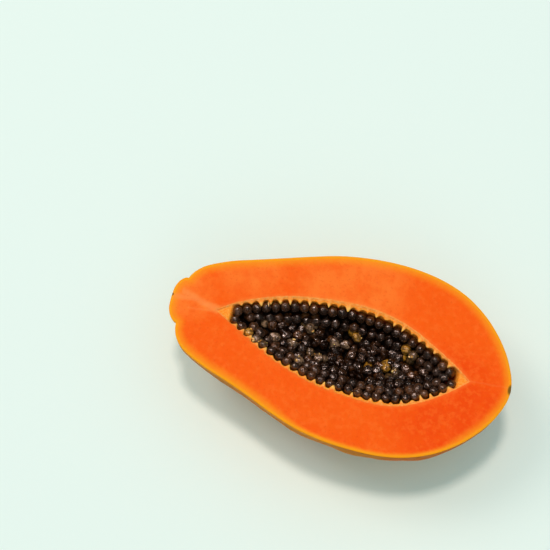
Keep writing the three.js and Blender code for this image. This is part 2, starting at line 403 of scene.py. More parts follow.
def dip(along, side):
    """Depth of the dip in the seed bed."""
    far = ((along - DIP_MIDDLE[0]) / DIP_REACH[0]) ** 2 + ((side - DIP_MIDDLE[1]) / DIP_REACH[1]) ** 2
    return np.where(far < 1, DIP_DEPTH * (1 - far) ** 2, 0)


# Places of the seeds


def random_source(seed):
    """The seeded draws that place the seeds in the solids."""
    state = seed
    while True:
        state = (state * 1664525 + 1013904223) % 2**32
        yield state / 2**32


def wall_outline():
    """Outline of the cavity wall in the cut face, in order round it."""
    order = np.arange(2 * OUTLINE_STEPS)
    upper = order < OUTLINE_STEPS
    shares = np.where(upper, order, 2 * OUTLINE_STEPS - order) / OUTLINE_STEPS
    along, half, middle = curve(CAVITY_ROWS, shares).T
    return np.stack([along, middle + np.where(upper, 1, -1) * half * WALL_SHARE], 1)


def distance_to(outline, point):
    """Distance from a point to the nearest side of a closed outline."""
    run = np.roll(outline, -1, 0) - outline
    share = np.clip(((point - outline) * run).sum(1) / (run * run).sum(1), 0, 1)
    return np.linalg.norm(point - outline - share[:, None] * run, axis=1).min()


def inset_line(outline, inset):
    """The line inside the outline at a distance from it, and the direction to the middle at each point."""
    run = np.roll(outline, -1, 0) - np.roll(outline, 1, 0)
    run /= np.linalg.norm(run, axis=1, keepdims=True)
    inward = np.stack([run[:, 1], -run[:, 0]], 1)
    points = outline + inward * inset
    kept = [i for i, point in enumerate(points) if distance_to(outline, point) > inset - 0.1]
    return points[kept], inward[kept]


def spread(points, pitch, phase):
    """Places at even spacing round a closed line, as pairs of a point and the index before it."""
    lengths = np.linalg.norm(np.roll(points, -1, 0) - points, axis=1)
    total = lengths.sum()
    count = round(total / pitch)
    ends = np.cumsum(lengths)
    places = []
    for k in range(count):
        at = (k + phase) * total / count
        index = int(np.searchsorted(ends, at))
        t = (at - ends[index] + lengths[index]) / lengths[index]
        places.append((mix((points[index], points[(index + 1) % len(points)]), t), index))
    return places


def seed_places():
    """Rows of seeds, each a dictionary of its place, size and turn."""
    random = random_source(SEED_DRAW)
    outline = wall_outline()
    seeds = []
    for row in range(ROWS):
        points, inward = inset_line(outline, FIRST_ROW_INSET + row * ROW_STEP)
        loose = min(1, row / LOOSE_FROM_ROW)
        for point, index in spread(points, SEED_PITCH, (row % 2) / 2):
            draws = [next(random) for _ in range(6)]
            along = point[0] + (draws[0] - 0.5) * mix(SHIFT_ALONG, loose)
            side = point[1] + (draws[1] - 0.5) * mix(SHIFT_SIDE, loose)
            shift = (draws[2] - 0.5) * mix(SHIFT_DEPTH, loose)
            depth = BED_TOP - SEED_STAND + float(dip(along, side)) + shift
            spot = np.array([along, side, depth])
            near = any(np.linalg.norm(other["spot"] - spot) < CLOSEST for other in seeds)
            if from_tip(along) > SEEDLESS_TIP and not near:
                seeds.append({
                    "row": row,
                    "spot": spot,
                    "radius": SEED_RADIUS * mix(SEED_SIZES, draws[3]),
                    "lean": draws[4],
                    "turn": draws[5],
                    "inward": inward[index],
                })
    return seeds


def tooth_places(seeds):
    """Root on the wall and direction of each tooth, halfway between neighbouring outermost seeds."""
    rim = [seed for seed in seeds if seed["row"] == 0]
    teeth = []
    for seed, following in zip(rim, rim[1:] + rim[:1]):
        apart = np.linalg.norm(following["spot"][:2] - seed["spot"][:2])
        if apart < TOOTH_GAP and seed["inward"] @ following["inward"] > TOOTH_BEND:
            inward = seed["inward"] + following["inward"]
            inward /= np.linalg.norm(inward)
            middle = (seed["spot"][:2] + following["spot"][:2]) / 2
            teeth.append((middle - inward * FIRST_ROW_INSET, inward))
    return teeth


# Mesh building


def make_mesh(name, points, faces, attributes=None, kinds=None, materials=()):
    """A smooth-shaded object of points in metres, with float attributes and a material index per face."""
    mesh = bpy.data.meshes.new(name)
    mesh.from_pydata(points.tolist(), [], faces.tolist())
    for key, values in (attributes or {}).items():
        if values.ndim == 1:
            mesh.attributes.new(key, "FLOAT", "POINT").data.foreach_set("value", values.astype(np.float32))
        else:
            colours = np.hstack([values, np.ones((len(values), 1))]).astype(np.float32)
            mesh.attributes.new(key, "FLOAT_COLOR", "POINT").data.foreach_set("color", colours.ravel())
    for material in materials:
        mesh.materials.append(material)
    if kinds is not None:
        mesh.polygons.foreach_set("material_index", kinds.astype(np.int32))
    mesh.polygons.foreach_set("use_smooth", np.ones(len(faces), bool))
    made = bpy.data.objects.new(name, mesh)
    bpy.context.scene.collection.objects.link(made)
    return made


def close_seams(made):
    """Joins points that lie in one place, and drops faces that this leaves with no area."""
    edit = bmesh.new()
    edit.from_mesh(made.data)
    bmesh.ops.remove_doubles(edit, verts=edit.verts, dist=2e-6)
    bmesh.ops.dissolve_degenerate(edit, edges=edit.edges, dist=1e-7)
    bmesh.ops.recalc_face_normals(edit, faces=edit.faces)
    edit.to_mesh(made.data)
    edit.free()


def grid_faces(rows, columns, wrap=False):
    """Four-sided faces of a grid of points, row by row. With wrap the last column meets the first."""
    across = columns if wrap else columns - 1
    i, j = np.meshgrid(np.arange(rows - 1), np.arange(across), indexing="ij")
    a = (i * columns + j).ravel()
    b = (i * columns + (j + 1) % columns).ravel()
    return np.stack([a, b, b + columns, a + columns], 1)


def nearest(outline, points):
    """Distance from each point to the nearest point of a densely sampled outline."""
    tree = KDTree(len(outline))
    for i, (x, y) in enumerate(outline):
        tree.insert((x, y, 0), i)
    tree.balance()
    return np.array([tree.find((x, y, 0))[2] for x, y in points])


def closed_outline(rows, shares):
    """Outline round a row curve: along the +Y side from the stem end, then back along the -Y side."""
    along, half, middle = curve(rows, shares).T
    half = np.maximum(half, 0)
    there = np.stack([along, middle + half], 1)
    back = np.stack([along, middle - half], 1)[::-1]
    return np.vstack([there, back[1:-1]])


# Fruit half


def gather(blocks):
    """Points, faces and attributes of several blocks as one mesh, the first block of material 0."""
    points, faces, kinds, start = [], [], [], 0
    for kind, block in enumerate(blocks):
        points.append(place(*block["spot"]).reshape(-1, 3))
        faces.append(block["faces"] + start)
        kinds.append(np.full(len(block["faces"]), min(kind, 1)))
        start += len(points[-1])
    attributes = {}
    for key in blocks[0]["attributes"]:
        attributes[key] = np.concatenate([block["attributes"][key].ravel() for block in blocks])
    return np.vstack(points), np.vstack(faces), np.concatenate(kinds), attributes


def skin_block():
    angles = np.linspace(0, math.pi, SKIN_SIDES + 1)
    share, angle = np.meshgrid(even_shares(FRUIT_ROWS, STATIONS), angles, indexing="ij")
    along, side, depth = skin_point(share, angle)
    none = np.zeros_like(along)
    return {
        "spot": (along, side, np.maximum(depth, EDGE_DROP)),
        "faces": grid_faces(*share.shape),
        "attributes": {"rim": none, "core": none + CAVITY_HALF_WIDTH, "tooth": none},
    }


def face_block():
    """The cut face, in rings from the skin to the cavity."""
    outer = closed_outline(FRUIT_ROWS, even_shares(FRUIT_ROWS, STATIONS))
    inner = closed_outline(CAVITY_ROWS, even_shares(CAVITY_ROWS, STATIONS))
    shares = (1 - np.cos(np.linspace(0, math.pi, FACE_RINGS + 1))) / 2
    spot = outer + (inner - outer) * shares[:, None, None]
    flat = spot.reshape(-1, 2)
    rim = nearest(closed_outline(FRUIT_ROWS, even_shares(FRUIT_ROWS, FINE_OUTLINE)), flat)
    core = nearest(closed_outline(CAVITY_ROWS, even_shares(CAVITY_ROWS, FINE_OUTLINE)), flat)
    rim, core = rim.reshape(spot.shape[:2]), core.reshape(spot.shape[:2])
    rim[0], core[-1] = 0, 0
    away = smooth(np.minimum(rim, core), 0.3, 4)
    drop = EDGE_DROP * (1 - smooth(rim, 0, 0.7)) + LIP_DROP * (1 - smooth(core, 0, 1.3))
    depth = drop + away * relief(spot, FACE_RELIEF)
    return {
        "spot": (spot[..., 0], spot[..., 1], depth),
        "faces": grid_faces(*spot.shape[:2], wrap=True),
        "attributes": {"rim": rim, "core": core, "tooth": np.zeros_like(rim)},
    }


def cavity_profile(along, half):
    """One side of the cavity from its outline to the floor: distances from the middle line, and depths."""
    ledge = np.linspace(1, WALL_SHARE, LEDGE_STEPS + 1)
    grown = mix(LEDGE_SHARES, smooth(from_tip(along), *LEDGE_GROWTH))
    ledge_depth = LEDGE_DEPTH * np.sqrt(half / CAVITY_HALF_WIDTH) * grown
    floor = np.maximum(cavity_depth(along), 1e-6)
    start = np.minimum(ledge_depth * math.sqrt(1 - WALL_SHARE**2), floor)
    down = np.linspace(0, 1, WALL_STEPS + 1)[1:] ** 1.6
    wall_depth = start[:, None] + (floor - start)[:, None] * down
    narrowing = np.cbrt(np.maximum(0, 1 - (wall_depth / floor[:, None]) ** WALL_POWER))
    across = np.hstack([half[:, None] * ledge, half[:, None] * WALL_SHARE * narrowing])
    rounded = ledge_depth[:, None] * np.sqrt(1 - ledge**2)
    depths = np.hstack([np.minimum(rounded, floor[:, None]), wall_depth])
    return across, depths


def cavity_block(seeds):
    """Ledge and wall of the cavity, with teeth of pulp between the outermost seeds."""
    along, half, middle = curve(CAVITY_ROWS, even_shares(CAVITY_ROWS, STATIONS)).T
    across, depths = cavity_profile(along, np.maximum(half, 0))
    across = np.hstack([across, -across[:, -2::-1]])
    depth = np.hstack([depths, depths[:, -2::-1]])
    along = np.broadcast_to(along[:, None], depth.shape).copy()
    side = middle[:, None] + across
    spot = np.stack([along, side], -1)
    outline = closed_outline(CAVITY_ROWS, even_shares(CAVITY_ROWS, FINE_OUTLINE))
    core = -nearest(outline, spot.reshape(-1, 2)).reshape(depth.shape)
    core[:, 0] = core[:, -1] = 0
    tooth = np.zeros_like(depth)
    random = np.random.default_rng(TOOTH_DRAW)
    for root, inward in tooth_places(seeds):
        size, width, height, lower = random.uniform(TOOTH_LEAST, TOOTH_MOST)
        tangent = np.array([-inward[1], inward[0]])
        off = spot - root
        beside = (off @ tangent) / (TOOTH_HALF_WIDTH * width)
        below = (depth - TOOTH_DEPTH - lower) / (TOOTH_HALF_HEIGHT * height)
        reach = (np.abs(off @ inward) < TOOTH_REACH) * smooth(depth, 0, 1.1)
        push = size * reach * np.exp(-(beside**2) - below**2)
        tooth += push
        along += TOOTH_LENGTH * push * inward[0]
        side += TOOTH_LENGTH * push * inward[1]
    rough = smooth(depth, 0.2, 2) * smooth(from_tip(along), 0, 6)
    lumps = rough * relief(np.stack([along, side, depth], -1), WALL_RELIEF)
    # core also falls with depth, so that the flesh paints the deep wall darker, as shade
    core = np.maximum(core, -1.8) - depth / 4
    return {
        "spot": (along, side - lumps * np.sign(across), depth + LIP_DROP),
        "faces": grid_faces(*depth.shape),
        "attributes": {"rim": np.full_like(depth, LENGTH), "core": core, "tooth": tooth},
    }


def make_fruit(seeds, skin, flesh):
    points, faces, kinds, attributes = gather([skin_block(), face_block(), cavity_block(seeds)])
    fruit = make_mesh("papaya_half", points, faces, attributes, kinds, (skin, flesh))
    close_seams(fruit)
    return fruit


# Seeds


def seed_form(fineness, draw, wrinkle):
    """Points and faces of one wrinkled, egg-shaped seed of radius 1, standing on its tip."""
    edit = bmesh.new()
    bmesh.ops.create_icosphere(edit, subdivisions=fineness, radius=1)
    points = np.array([vert.co for vert in edit.verts])
    faces = np.array([[vert.index for vert in face.verts] for face in edit.faces])
    edit.free()
    swell = 1 + wrinkle * (waves(points, 1.2, draw) + 0.6 * waves(points, 0.55, draw + 1))
    points *= swell[:, None]
    points[:, :2] *= 1 - SEED_TAPER * points[:, 2:]
    return points * (1, 1, SEED_LENGTH_RATIO), faces


def seed_turn(lean, turn):
    """Turn of a seed that leans over, and then turns about the upright."""
    tilt = (2 * lean - 1) * SEED_LEAN
    c, s = math.cos(tilt), math.sin(tilt)
    tip = np.array([[1, 0, 0], [0, c, -s], [0, s, c]])
    about = turn * 2 * math.pi
    c, s = math.cos(about), math.sin(about)
    spin = np.array([[c, -s, 0], [s, c, 0], [0, 0, 1]])
    return spin @ tip


def pale_tint(spot):
    """Name of the tint of a pale seed, and None for the others."""
    for tint, along, side in PALE_SEEDS:
        if math.hypot(spot[0] - along, spot[1] - side) < PALE_REACH:
            return tint
    return None


def seed_tint(spot, random):
    """Colour of the seed's coat. A few seeds are pale, where the real ones are. The deeper a dark seed
    lies, the nearer black it is painted, as shade.
    """
    pale = pale_tint(spot)
    if pale:
        return np.array(TINTS[pale]) * random.uniform(0.85, 1.15)
    # Painted shade: dark seeds lean further to black the deeper they lie
    inner = min(1, spot[2] / PAINTED_SHADE_DEPTH)
    return mix((np.array(TINTS["black"]), np.array(TINTS["brown"])), random.uniform() ** (0.6 + 6 * inner))


def loosen(seeds):
    """Inner seeds, less even than in the solids: some sink or lie on their sides, and a few are missing."""
    random = np.random.default_rng(LOOSE_DRAW)
    kept = []
    for seed in seeds:
        sink, lean, missing = random.uniform(size=3)
        inner = min(1, seed["row"] / LOOSE_FROM_ROW)
        pale = pale_tint(seed["spot"])
        if pale or missing > MISSING_SHARE * inner:
            far = FAR_SINK * smooth(seed["spot"][1], *FAR_SIDE) if seed["row"] else 0
            down = inner * (ROW_SINK + RANDOM_SINK * sink**2) + far
            spot = seed["spot"] + (0, 0, down * PALE_SINK_SHARE if pale else down)
            leans = (seed["lean"], 0.5 + (lean - 0.5) * LOOSE_LEAN)
            kept.append({**seed, "spot": spot, "lean": mix(leans, inner)})
    return kept


def make_seeds(name, seeds, fineness, wrinkle, material):
    """The seeds as one object, each from one of a few forms, with a colour of its own."""
    forms = [seed_form(fineness, SEED_FORM_DRAW + 2 * k, wrinkle) for k in range(SEED_FORMS)]
    random = np.random.default_rng(len(seeds))
    points, faces, tints, heights, start = [], [], [], [], 0
    for k, seed in enumerate(seeds):
        form, form_faces = forms[k % SEED_FORMS]
        turned = form @ seed_turn(seed["lean"], seed["turn"]).T
        # Height within the seed, from which its coat paints shade on the lower part
        heights.append(turned[:, 2])
        points.append(turned * seed["radius"] * MM + place(*seed["spot"]))
        faces.append(form_faces + start)
        start += len(form)
        tints.append(np.tile(seed_tint(seed["spot"], random), (len(form), 1)))
    attributes = {"tint": np.vstack(tints), "height": np.concatenate(heights)}
    return make_mesh(name, np.vstack(points), np.vstack(faces), attributes, None, (material,))


def deep_places():
    """A second layer of seeds under the first, between its rows."""
    random = np.random.default_rng(DEEP_DRAW)
    outline = wall_outline()
    seeds = []
    for row in range(ROWS):
        points, inward = inset_line(outline, FIRST_ROW_INSET + (row + 0.5) * ROW_STEP)
        for point, index in spread(points, SEED_PITCH, 0.25):
            along, side = point + random.uniform(-DEEP_SHIFT, DEEP_SHIFT, 2)
            shift = random.uniform(-DEEP_SHIFT_DEPTH, DEEP_SHIFT_DEPTH)
            depth = BED_TOP - SEED_STAND + DEEP_STEP + float(dip(along, side)) + shift
            if from_tip(along) > DEEP_SEEDLESS_TIP:
                seeds.append({
                    "row": row,
                    "spot": np.array([along, side, depth]),
                    "radius": SEED_RADIUS,
                    "lean": random.uniform(),
                    "turn": random.uniform(),
                    "inward": inward[index],
                })
    return seeds


def wall_side(half, floor, depth):
    """Distance of the cavity wall from the middle line at a depth."""
    return half * WALL_SHARE * np.cbrt(np.maximum(0, 1 - (depth / floor) ** WALL_POWER))


def make_bed(material):
    """Pulp and deep seeds under the others, as a closed body with a lumpy top."""
    reach = CAVITY_REACH - BED_TIP
    along = np.linspace(CAVITY_MIDDLE - reach, CAVITY_MIDDLE + reach, BED_STATIONS)
    fine = np.linspace(0, 1, 4001)
    rows_along, rows_half, rows_middle = curve(CAVITY_ROWS, fine).T
    half = np.interp(along, rows_along, rows_half) - BED_GAP
    middle = np.interp(along, rows_along, rows_middle)
    floor = cavity_depth(along) - BED_GAP
    share = np.linspace(1, -1, BED_COLUMNS)
    top = BED_TOP + BED_DROP
    limit = wall_side(half, floor, top)
    limit = wall_side(half, floor, np.maximum(top, top + dip(along, middle + limit)))
    side = middle[:, None] + limit[:, None] * share
    along = np.broadcast_to(along[:, None], side.shape)
    depth = top + dip(along, side) + relief(np.stack([along, side], -1), BED_RELIEF)
    angle = np.linspace(0, math.pi, BED_COLUMNS + 1)[1:-1]
    round_under = np.sign(np.cos(angle)) * np.abs(np.cos(angle)) ** (2 / 3)
    under_side = middle[:, None] - limit[:, None] * round_under
    under = depth[:, -1:] + (floor[:, None] - depth[:, -1:]) * np.sin(angle) ** (2 / 3)
    under = np.maximum(under, top + BED_LEAST + dip(along[:, :1], under_side))
    spot = np.stack([
        np.hstack([along, np.broadcast_to(along[:, :1], under.shape)]),
        np.hstack([side, under_side]),
        np.hstack([depth, under]),
    ], -1)
    spot[0], spot[-1] = spot[0].mean(0), spot[-1].mean(0)
    points = place(*np.moveaxis(spot, -1, 0)).reshape(-1, 3)
    bed = make_mesh("seed_bed", points, grid_faces(*spot.shape[:2], wrap=True), None, None, (material,))
    close_seams(bed)
    return bed


def make_pulp_bits(seeds, material):
    """Scraps of pale pulp that cling to the pale seeds, and one strand between two outermost seeds."""
    random = np.random.default_rng(PULP_DRAW)
    form, form_faces = seed_form(3, PULP_FORM_DRAW, 0.08)
    points, faces, start = [], [], 0
    pale_seeds = [seed for seed in seeds if pale_tint(seed["spot"])]
    for seed in pale_seeds:
        for _ in range(random.integers(1, 4)):
            heading = random.normal(size=3) * (1, 1, 0.5) + (0, 0, 0.7)
            heading /= np.linalg.norm(heading)
            length = random.uniform(*PULP_LENGTHS)
            size = length * np.array((1, random.uniform(*PULP_WIDTHS), random.uniform(*PULP_HEIGHTS)))
            turned = (form * size) @ seed_turn(random.uniform(), random.uniform()).T
            points.append((turned + heading * seed["radius"] * 0.98) * MM + place(*seed["spot"]))
            faces.append(form_faces + start)
            start += len(form)
    along, side = STRAND_AT
    strand = form * STRAND_SIZE @ seed_turn(0.5, 0.04).T
    points.append(strand * MM + place(along, side, STRAND_DEPTH))
    faces.append(form_faces + start)
    return make_mesh("pulp_bits", np.vstack(points), np.vstack(faces), None, None, (material,))


# Materials


def rgb(red, green, blue):
    """A colour given as on a screen, from 0 to 255, as the linear colour that the nodes take."""
    linear = []
    for level in (red / 255, green / 255, blue / 255):
        linear.append(level / 12.92 if level < 0.0405 else ((level + 0.055) / 1.055) ** 2.4)
    return (*linear, 1)


def new_material(name):
    """An empty material, its node tree and its surface shader."""
    material = bpy.data.materials.new(name)
    material.use_nodes = True
    tree = material.node_tree
    return material, tree, tree.nodes["Principled BSDF"]


def node(tree, kind, inputs, **settings):
    """A shader node whose inputs are values or the outputs that feed them."""
    made = tree.nodes.new("ShaderNode" + kind)
    for key, value in settings.items():
        setattr(made, key, value)
    for socket, value in inputs.items():
        feed(tree, made.inputs[socket], value)
    return made


def feed(tree, socket, value):
    if isinstance(value, bpy.types.NodeSocket):
        tree.links.new(value, socket)
    else:
        socket.default_value = value


def dress(tree, surface, values):
    """Sets sockets of a surface shader to values, or links them to the outputs that feed them."""
    for socket, value in values.items():
        feed(tree, surface.inputs[socket], value)


def blend(tree, share, low, high):
    """Colour low where share is 0 and high where it is 1."""
    return node(tree, "Mix", {0: share, 6: low, 7: high}, data_type="RGBA").outputs[2]


def steps(tree, value, low, high, to_low=0, to_high=1):
    """Smooth change of a value between two levels."""
    inputs = {"Value": value, "From Min": low, "From Max": high, "To Min": to_low, "To Max": to_high}
    return node(tree, "MapRange", inputs, interpolation_type="SMOOTHSTEP").outputs[0]


def maths(tree, operation, first, second=0):
    return node(tree, "Math", {0: first, 1: second}, operation=operation).outputs[0]


def times(tree, first, second):
    return maths(tree, "MULTIPLY", first, second)


def attribute(tree, name, output="Fac"):
    return node(tree, "Attribute", {}, attribute_name=name).outputs[output]


def position(tree):
    return node(tree, "TexCoord", {}).outputs["Object"]


def noise(tree, size, detail=2, stretch=1, shift=0):
    """Noise from 0 to 1 with blobs about size millimetres wide, and stretch times as long as that."""
    scale = (1 / (size * stretch * MM), 1 / (size * MM), 1 / (size * MM))
    mapping = {"Vector": position(tree), "Scale": scale, "Location": (shift, shift, shift)}
    moved = node(tree, "Mapping", mapping).outputs[0]
    inputs = {"Vector": moved, "Scale": 1, "Detail": detail, "Roughness": 0.55}
    return node(tree, "TexNoise", inputs).outputs[0]


def roughen(tree, value, size, reach, shift=0):
    """A value made uneven by noise, over a range of reach in all."""
    off = maths(tree, "SUBTRACT", noise(tree, size, shift=shift), 0.5)
    return maths(tree, "ADD", value, times(tree, off, reach))


def specks(tree, pitch, low, high, shift=0):
    """Scattered dots, pitch millimetres apart, with radii between shares low and high of the pitch."""
    inputs = {"Vector": position(tree), "Scale": 1 / (pitch * MM), "Randomness": 1}
    cells = node(tree, "TexVoronoi", inputs)
    chance = node(tree, "SeparateColor", {0: cells.outputs["Color"]}).outputs[0]
    radius = steps(tree, chance, 0.45 + shift, 1, low, high)
    return steps(tree, maths(tree, "SUBTRACT", cells.outputs["Distance"], radius), 0, 0.05, 1, 0)


def spot_at(tree, along, side, depth, radius, stretch=(1, 1, 1)):
    """1 within a soft-edged round spot of a radius in millimetres, and 0 outside it."""
    centre = tuple(float(c) for c in place(along, side, depth))
    off = node(tree, "VectorMath", {0: position(tree), 1: centre}, operation="SUBTRACT").outputs[0]
    scaled = node(tree, "VectorMath", {0: off, 1: stretch}, operation="MULTIPLY").outputs[0]
    distance = node(tree, "VectorMath", {0: scaled}, operation="LENGTH").outputs["Value"]
    return steps(tree, distance, 0.55 * radius * MM, 1.2 * radius * MM, 1, 0)


def bump(tree, height, distance, strength=1, under=None):
    inputs = {"Height": height, "Distance": distance * MM, "Strength": strength}
    if under is not None:
        inputs["Normal"] = under
    return node(tree, "Bump", inputs).outputs[0]


def axis(tree, index):
    """One frame coordinate, in metres."""
    return node(tree, "SeparateXYZ", {0: position(tree)}).outputs[index]


def stretch_near(tree, x, y, start, end, width):
    """1 on the straight line between two places, fading to 0 at a width in millimetres."""
    from_x, to_x = ((along - REST_AT) * MM for along, _ in (start, end))
    from_y, to_y = (side * MM for _, side in (start, end))
    inputs = {"Value": x, "From Min": from_x, "From Max": to_x, "To Min": from_y, "To Max": to_y}
    level = node(tree, "MapRange", inputs).outputs[0]
    off = maths(tree, "ABSOLUTE", maths(tree, "SUBTRACT", y, level))
    on = steps(tree, off, 0.1 * width * MM, width * MM, 1, 0)
    low, high = sorted((from_x, to_x))
    between = times(tree, steps(tree, x, low - MM, low), steps(tree, x, high, high + MM, 1, 0))
    return times(tree, on, between)


def line_near(tree, route, width):
    """1 on a slightly bent line through places in the cut face, fading to 0 at a width in millimetres."""
    x, y = axis(tree, 0), roughen(tree, axis(tree, 1), 6, 2 * MM, 9)
    total = 0
    for start, end in zip(route, route[1:]):
        total = maths(tree, "MAXIMUM", total, stretch_near(tree, x, y, start, end, width))
    return total


def flesh_colour(tree):
    """Deep orange with large patches, partly painted light and shade, and fine mottles."""
    colour = rgb(250, 91, 9)
    # The large patches paint light on the far side and stem end, and shade with ripeness at the near
    # blossom end
    for along, side, radius, tone in FLESH_PATCHES_AND_PAINTED_LIGHT:
        colour = blend(tree, spot_at(tree, along, side, 0, radius), colour, rgb(*tone))
    for size, shift, levels, share, tone in FLESH_MOTTLES:
        mottle = steps(tree, noise(tree, size, 3, shift=shift), *levels, 0, share)
        colour = blend(tree, mottle, colour, rgb(*tone))
    return colour


def add_skin_band(tree, colour):
    """Adds the yellow band under the skin, which is narrow along the middle of the near side."""
    rim = attribute(tree, "rim")
    off_middle = maths(tree, "ABSOLUTE", maths(tree, "SUBTRACT", axis(tree, 0), 25 * MM))
    near_side = steps(tree, axis(tree, 1), -50 * MM, -20 * MM, 1, 0)
    narrow = times(tree, steps(tree, off_middle, 30 * MM, 75 * MM, 1, 0), near_side)
    share = maths(tree, "DIVIDE", roughen(tree, rim, 5, 1.4), steps(tree, narrow, 0, 1, *BAND_WIDTHS))
    colour = blend(tree, steps(tree, share, 0.05, 1, 0.9, 0), colour, rgb(250, 148, 26))
    return blend(tree, steps(tree, rim, 0.4, 2.4, 0.85, 0), colour, rgb(250, 160, 18))


def add_pulp(tree, colour):
    """Adds the halo at the cavity's tip, and the pale fibrous pulp of its lip, teeth and wall. The wall is
    painted darker the deeper it goes, as shade.
    """
    core = attribute(tree, "core")
    fibres = steps(tree, noise(tree, 1.1, 3, shift=2), 0.4, 0.62)
    pulp = blend(tree, fibres, rgb(252, 136, 34), rgb(255, 160, 60))
    pale = blend(tree, fibres, rgb(255, 146, 58), rgb(255, 168, 84))
    pulp = blend(tree, steps(tree, core, -1.3, -0.5), pulp, pale)
    pulp = blend(tree, steps(tree, attribute(tree, "tooth"), 0.25, 0.9), pulp, rgb(255, 184, 92))
    # Painted shade: the wall is darker red-brown the deeper it goes
    pulp = blend(tree, steps(tree, core, -4.2, -2.6, 1, 0), pulp, rgb(208, 74, 14))
    halo = times(tree, spot_at(tree, *TIP_HALO, TIP_HALO_RADIUS, TIP_HALO_STRETCH), 0.4)
    colour = blend(tree, halo, colour, rgb(255, 140, 58))
    left = steps(tree, axis(tree, 0), 0, 50 * MM, 1, 0)
    near = steps(tree, axis(tree, 1), -4 * MM, 4 * MM, 1, 0)
    lip = maths(tree, "ADD", roughen(tree, core, 2, 0.8), times(tree, left, near))
    colour = blend(tree, steps(tree, lip, 0.4, 3, 0.3, 0), colour, rgb(255, 140, 58))
    return blend(tree, steps(tree, lip, 0, 0.9, 1, 0), colour, pulp)


def add_veins(tree, colour):
    total = 0
    for route, width, strength in VEINS:
        vein = times(tree, line_near(tree, route, width), strength)
        total = maths(tree, "MAXIMUM", total, vein)
    return blend(tree, times(tree, total, 0.45), colour, rgb(252, 150, 78))


def make_flesh():
    """Ripe orange flesh: yellow under the skin, deep orange inside, pale and fibrous at the cavity."""
    material, tree, surface = new_material("flesh")
    colour = add_skin_band(tree, flesh_colour(tree))
    colour = add_veins(tree, add_pulp(tree, colour))
    wet = bump(tree, noise(tree, 2.2, 3), 0.16)
    dress(tree, surface, {
        "Base Color": mark(tree, colour),
        "Roughness": steps(tree, noise(tree, 1.4), 0.3, 0.7, 0.46, 0.62),
        "Subsurface Weight": 0.22,
        "Subsurface Radius": (1, 0.35, 0.12),
        "Subsurface Scale": 3.5 * MM,
        "Specular IOR Level": 0.2,
        "Specular Tint": (1, 0.6, 0.25, 1),
        "Normal": bump(tree, noise(tree, 0.6, 3), 0.07, 0.8, wet),
    })
    return material


def mark(tree, colour):
    """Adds the dark scar at the blossom end and the nick at the stem end."""
    scar = times(tree, spot_at(tree, *SCAR_AT, SCAR_RADIUS, SCAR_STRETCH), 0.9)
    colour = blend(tree, scar, colour, rgb(88, 74, 24))
    nick = times(tree, spot_at(tree, *NICK_AT, NICK_RADIUS), 0.85)
    return blend(tree, nick, colour, rgb(92, 58, 30))


def skin_colour(tree):
    """Orange and yellow, greener near the stem, with faint streaks and dark specks."""
    patches = steps(tree, noise(tree, 34, 3, 1.6), 0.38, 0.62)
    colour = blend(tree, patches, rgb(246, 132, 14), rgb(252, 166, 34))
    deeper = steps(tree, noise(tree, 17, 4, 2, shift=3), 0.5, 0.7, 0, 0.7)
    colour = blend(tree, deeper, colour, rgb(238, 112, 14))
    streaks = steps(tree, noise(tree, 2.2, 3, 14, shift=5), 0.48, 0.7, 0, 0.3)
    colour = blend(tree, streaks, colour, rgb(206, 122, 12))
    near_stem = steps(tree, axis(tree, 0), -105 * MM, -35 * MM, 1, 0.2)
    green = times(tree, steps(tree, noise(tree, 22, 4, 1.8, shift=8), 0.42, 0.62, 0, 0.75), near_stem)
    colour = blend(tree, green, colour, rgb(168, 140, 22))
    large = times(tree, specks(tree, 7, 0.02, 0.09), 0.7)
    colour = blend(tree, large, colour, rgb(96, 62, 14))
    small = times(tree, specks(tree, 2.6, 0.03, 0.13, 0.2), 0.3)
    return blend(tree, small, colour, rgb(150, 98, 20))


def add_edge(tree, colour):
    """Adds the marks on the near edge, painted shade that browns the upper flank just under the cut, and
    the golden strip under the cut.
    """
    for along in EDGE_MARKS:
        dark = spot_at(tree, along, EDGE_MARK_SIDE, EDGE_MARK_DEPTH, 1.2, (0.7, 1, 1.2))
        colour = blend(tree, times(tree, dark, 0.8), colour, rgb(74, 78, 22))
    # Painted shade: the upper flank under the cut face is browner all round
    painted_shade_flank = steps(tree, axis(tree, 2), (CUT_HEIGHT - 22) * MM, (CUT_HEIGHT - 6) * MM, 0, 0.7)
    colour = blend(tree, painted_shade_flank, colour, rgb(182, 90, 8))
    reach = steps(tree, axis(tree, 0), -15 * MM, 20 * MM, 6 * MM, 1.8 * MM)
    below_cut = maths(tree, "SUBTRACT", CUT_HEIGHT * MM, axis(tree, 2))
    strip = steps(tree, maths(tree, "DIVIDE", below_cut, reach), 0.2, 1, 0.8, 0)
    return blend(tree, strip, colour, rgb(246, 152, 16))


def make_skin():
    """Thin ripe skin with a faint waxy gloss."""
    material, tree, surface = new_material("skin")
    dents = bump(tree, noise(tree, 6, 2, 1.5), 0.25, 0.7)
    dress(tree, surface, {
        "Base Color": mark(tree, add_edge(tree, skin_colour(tree))),
        "Roughness": steps(tree, noise(tree, 5, 3), 0.3, 0.7, 0.48, 0.64),
        "Specular IOR Level": 0.07,
        "Specular Tint": (1, 0.7, 0.4, 1),
        "Subsurface Weight": 0.1,
        "Subsurface Radius": (1, 0.5, 0.15),
        "Subsurface Scale": 1.5 * MM,
        "Coat Weight": 0.03,
        "Coat Roughness": 0.28,
        "Normal": bump(tree, noise(tree, 0.7, 3), 0.05, 0.8, dents),
    })
    return material


